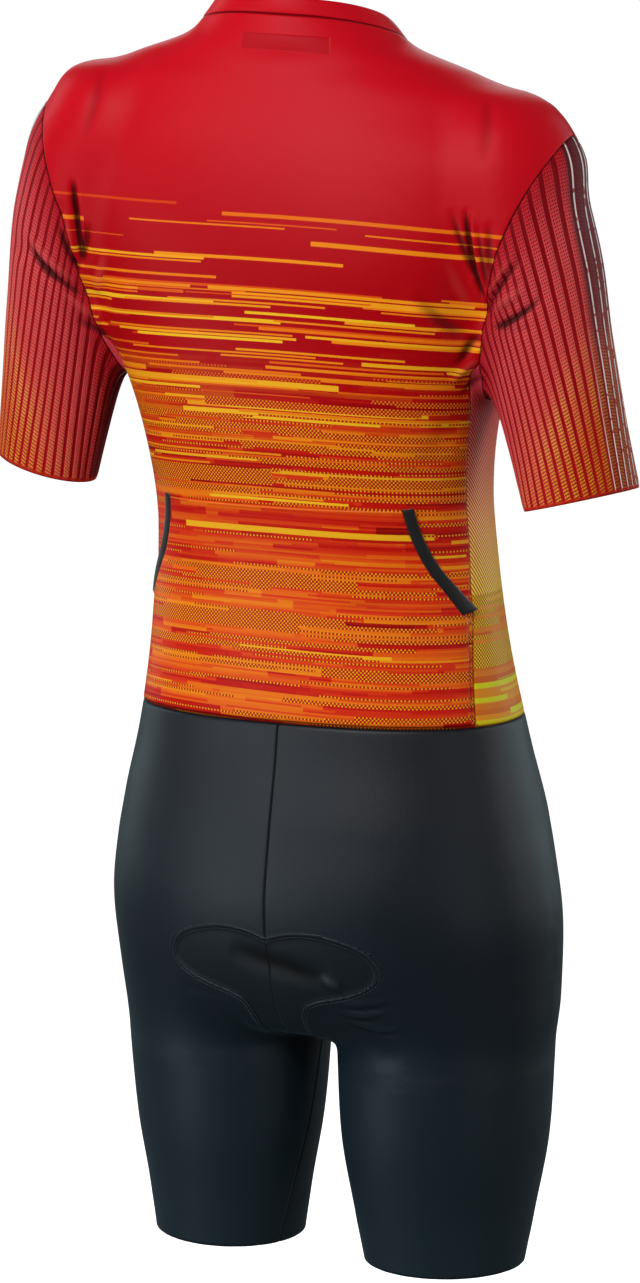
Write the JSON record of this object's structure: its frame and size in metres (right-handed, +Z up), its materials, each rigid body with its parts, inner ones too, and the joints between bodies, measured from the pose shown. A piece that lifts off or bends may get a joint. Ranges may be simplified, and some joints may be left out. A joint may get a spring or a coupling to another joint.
{
  "type": "cycling skinsuit",
  "caption": "Short-sleeved one-piece cycling skinsuit, filled out as worn, with a front zip, rear pocket pouch, ribbed sleeves and padded shorts.",
  "frame": {"origin": "middle of the neck, level with the base of the collar, where the wearer carries the suit", "axes": "+Z up, -Y towards the wearer's front, +X towards the wearer's left"},
  "size_m": [0.5047, 0.2301, 0.9293],
  "materials": {
    "jersey_cloth": "smooth printed knit, red to orange",
    "side_cloth": "printed knit, pinkish red to yellow",
    "sleeve_cloth": "ribbed knit",
    "shorts_cloth": "dense stretch knit with a soft sheen",
    "trim_black": "bound edge",
    "pad_foam": "brushed pad",
    "zip_plastic": "moulded coil",
    "zip_metal": "satin"
  },
  "bodies": {
    "suit": {"back": "jersey_cloth", "front_left": "jersey_cloth", "front_right": "jersey_cloth", "side_left": "side_cloth", "side_right": "side_cloth", "sleeve_left": "sleeve_cloth", "sleeve_right": "sleeve_cloth", "collar": "jersey_cloth", "pocket": "jersey_cloth", "pocket_trim_left": "trim_black", "pocket_trim_right": "trim_black", "shorts_left": "shorts_cloth", "shorts_right": "shorts_cloth", "seat_pad": "pad_foam", "zip": "zip_plastic", "zip_slider": "zip_metal"},
    "pull": {"zip_pull": "zip_metal"}
  },
  "joints": [
    {"name": "pull_swing", "type": "hinge", "parent": "suit", "child": "pull", "pos_m": [0.01607, -0.08404, -0.05607], "axis": [-0.9943, -0.1015, 0.0329], "range_deg": [0, 150]}
  ]
}
